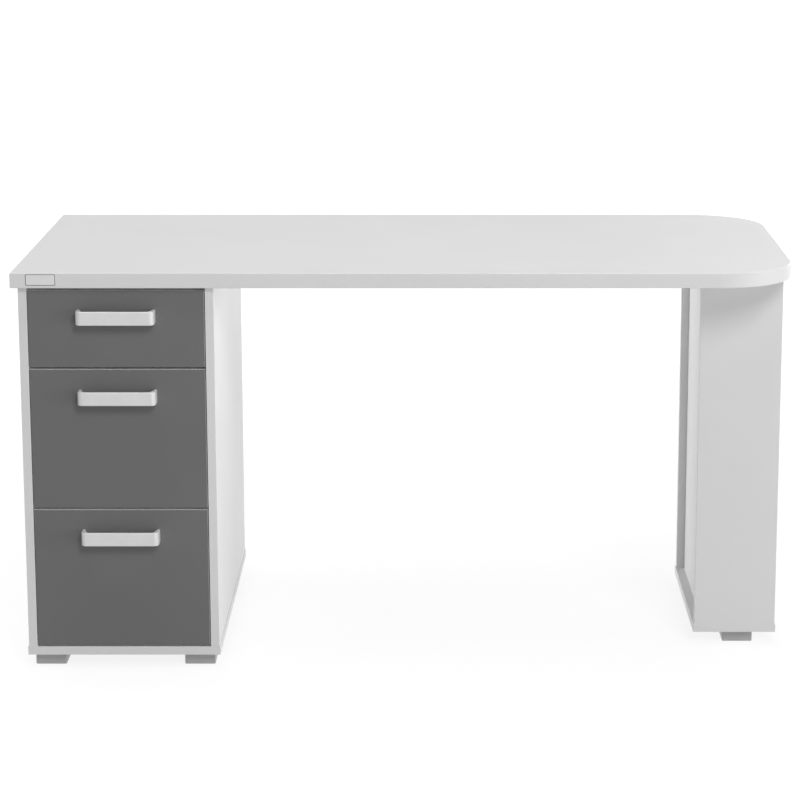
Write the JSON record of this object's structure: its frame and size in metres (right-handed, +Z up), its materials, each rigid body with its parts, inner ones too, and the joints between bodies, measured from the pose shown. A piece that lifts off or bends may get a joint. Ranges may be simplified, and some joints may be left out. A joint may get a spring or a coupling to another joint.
{
  "type": "writing desk",
  "caption": "White writing desk with a rounded right end, a pedestal of grey drawers with bow handles on the left and a box leg on the right.",
  "frame": {"origin": "on the floor, under the middle of the whole outline with the handles included", "axes": "+X to the right along the desk, +Y to the back, +Z up; the drawers pull towards -Y"},
  "size_m": [1.45, 0.714, 0.76],
  "materials": {
    "white_board": "white melamine-faced particle board, fine matt grain",
    "white_edging": "white plastic edging, satin",
    "grey_board": "grey melamine-faced particle board, matt",
    "box_board": "pale grey-white foil-wrapped board",
    "hardboard": "thin hardboard, pale lacquered face",
    "satin_metal": "satin silver, fine brushed",
    "silver_plastic": "silver-grey moulded plastic",
    "coated_steel": "white powder coat on bent sheet steel",
    "nylon": "natural nylon",
    "zinc_steel": "bright zinc-plated steel",
    "beech": "plain fluted beech"
  },
  "bodies": {
    "desk": {"desktop": "white_board", "desktop_edging": "white_edging", "pedestal_left_side": "white_board", "pedestal_right_side": "white_board", "pedestal_base": "white_board", "pedestal_back": "white_board", "pedestal_front_rail": "white_board", "pedestal_rear_rail": "white_board", "leg_front_panel": "white_board", "leg_back_panel": "white_board", "leg_inner_panel": "white_board", "leg_outer_panel": "white_board", "leg_base": "white_board", "leg_top_panel": "white_board", "pedestal_foot_front_left": "silver_plastic", "pedestal_foot_front_right": "silver_plastic", "pedestal_foot_rear_left": "silver_plastic", "pedestal_foot_rear_right": "silver_plastic", "leg_foot_front": "silver_plastic", "leg_foot_rear": "silver_plastic", "panel_dowels": "beech", "base_screws": "zinc_steel", "desktop_screws": "zinc_steel", "foot_screws": "zinc_steel", "runner_screws": "zinc_steel", "bottom_cabinet_runners": "coated_steel", "middle_cabinet_runners": "coated_steel", "top_cabinet_runners": "coated_steel"},
    "bottom_drawer": {"bottom_drawer_front": "grey_board", "bottom_drawer_left_side": "box_board", "bottom_drawer_right_side": "box_board", "bottom_drawer_back": "box_board", "bottom_drawer_bottom": "hardboard", "bottom_drawer_handle": "satin_metal", "bottom_drawer_handle_screws": "zinc_steel", "bottom_drawer_runners": "coated_steel"},
    "bottom_cabinet_rollers": {"bottom_cabinet_rollers": "nylon"},
    "bottom_drawer_rollers": {"bottom_drawer_rollers": "nylon"},
    "middle_drawer": {"middle_drawer_front": "grey_board", "middle_drawer_left_side": "box_board", "middle_drawer_right_side": "box_board", "middle_drawer_back": "box_board", "middle_drawer_bottom": "hardboard", "middle_drawer_handle": "satin_metal", "middle_drawer_handle_screws": "zinc_steel", "middle_drawer_runners": "coated_steel"},
    "middle_cabinet_rollers": {"middle_cabinet_rollers": "nylon"},
    "middle_drawer_rollers": {"middle_drawer_rollers": "nylon"},
    "top_drawer": {"top_drawer_front": "grey_board", "top_drawer_left_side": "box_board", "top_drawer_right_side": "box_board", "top_drawer_back": "box_board", "top_drawer_bottom": "hardboard", "top_drawer_handle": "satin_metal", "top_drawer_handle_screws": "zinc_steel", "top_drawer_runners": "coated_steel"},
    "top_cabinet_rollers": {"top_cabinet_rollers": "nylon"},
    "top_drawer_rollers": {"top_drawer_rollers": "nylon"}
  },
  "joints": [
    {"name": "bottom_cabinet_rollers_spin", "type": "hinge", "parent": "desk", "child": "bottom_cabinet_rollers", "pos_m": [-0.533, -0.296, 0.0727], "axis": [1, 0, 0], "range_deg": [-5, 2275]},
    {"name": "bottom_drawer_rollers_spin", "type": "hinge", "parent": "bottom_drawer", "child": "bottom_drawer_rollers", "pos_m": [-0.533, 0.223, 0.0727], "axis": [1, 0, 0], "range_deg": [-5, 2275]},
    {"name": "bottom_drawer_slide", "type": "slide", "parent": "desk", "child": "bottom_drawer", "axis": [0, -1, 0], "range_m": [0, 0.41]},
    {"name": "middle_cabinet_rollers_spin", "type": "hinge", "parent": "desk", "child": "middle_cabinet_rollers", "pos_m": [-0.533, -0.296, 0.3412], "axis": [1, 0, 0], "range_deg": [-5, 2275]},
    {"name": "middle_drawer_rollers_spin", "type": "hinge", "parent": "middle_drawer", "child": "middle_drawer_rollers", "pos_m": [-0.533, 0.223, 0.3412], "axis": [1, 0, 0], "range_deg": [-5, 2275]},
    {"name": "middle_drawer_slide", "type": "slide", "parent": "desk", "child": "middle_drawer", "axis": [0, -1, 0], "range_m": [0, 0.41]},
    {"name": "top_cabinet_rollers_spin", "type": "hinge", "parent": "desk", "child": "top_cabinet_rollers", "pos_m": [-0.533, -0.296, 0.6097], "axis": [1, 0, 0], "range_deg": [-5, 2275]},
    {"name": "top_drawer_rollers_spin", "type": "hinge", "parent": "top_drawer", "child": "top_drawer_rollers", "pos_m": [-0.533, 0.223, 0.6097], "axis": [1, 0, 0], "range_deg": [-5, 2275]},
    {"name": "top_drawer_slide", "type": "slide", "parent": "desk", "child": "top_drawer", "axis": [0, -1, 0], "range_m": [0, 0.41]}
  ],
  "couplings": [
    {"joint": "bottom_cabinet_rollers_spin", "follows": "bottom_drawer_slide", "rad_per_m": 96.154},
    {"joint": "bottom_drawer_rollers_spin", "follows": "bottom_drawer_slide", "rad_per_m": 96.154},
    {"joint": "middle_cabinet_rollers_spin", "follows": "middle_drawer_slide", "rad_per_m": 96.154},
    {"joint": "middle_drawer_rollers_spin", "follows": "middle_drawer_slide", "rad_per_m": 96.154},
    {"joint": "top_cabinet_rollers_spin", "follows": "top_drawer_slide", "rad_per_m": 96.154},
    {"joint": "top_drawer_rollers_spin", "follows": "top_drawer_slide", "rad_per_m": 96.154}
  ]
}
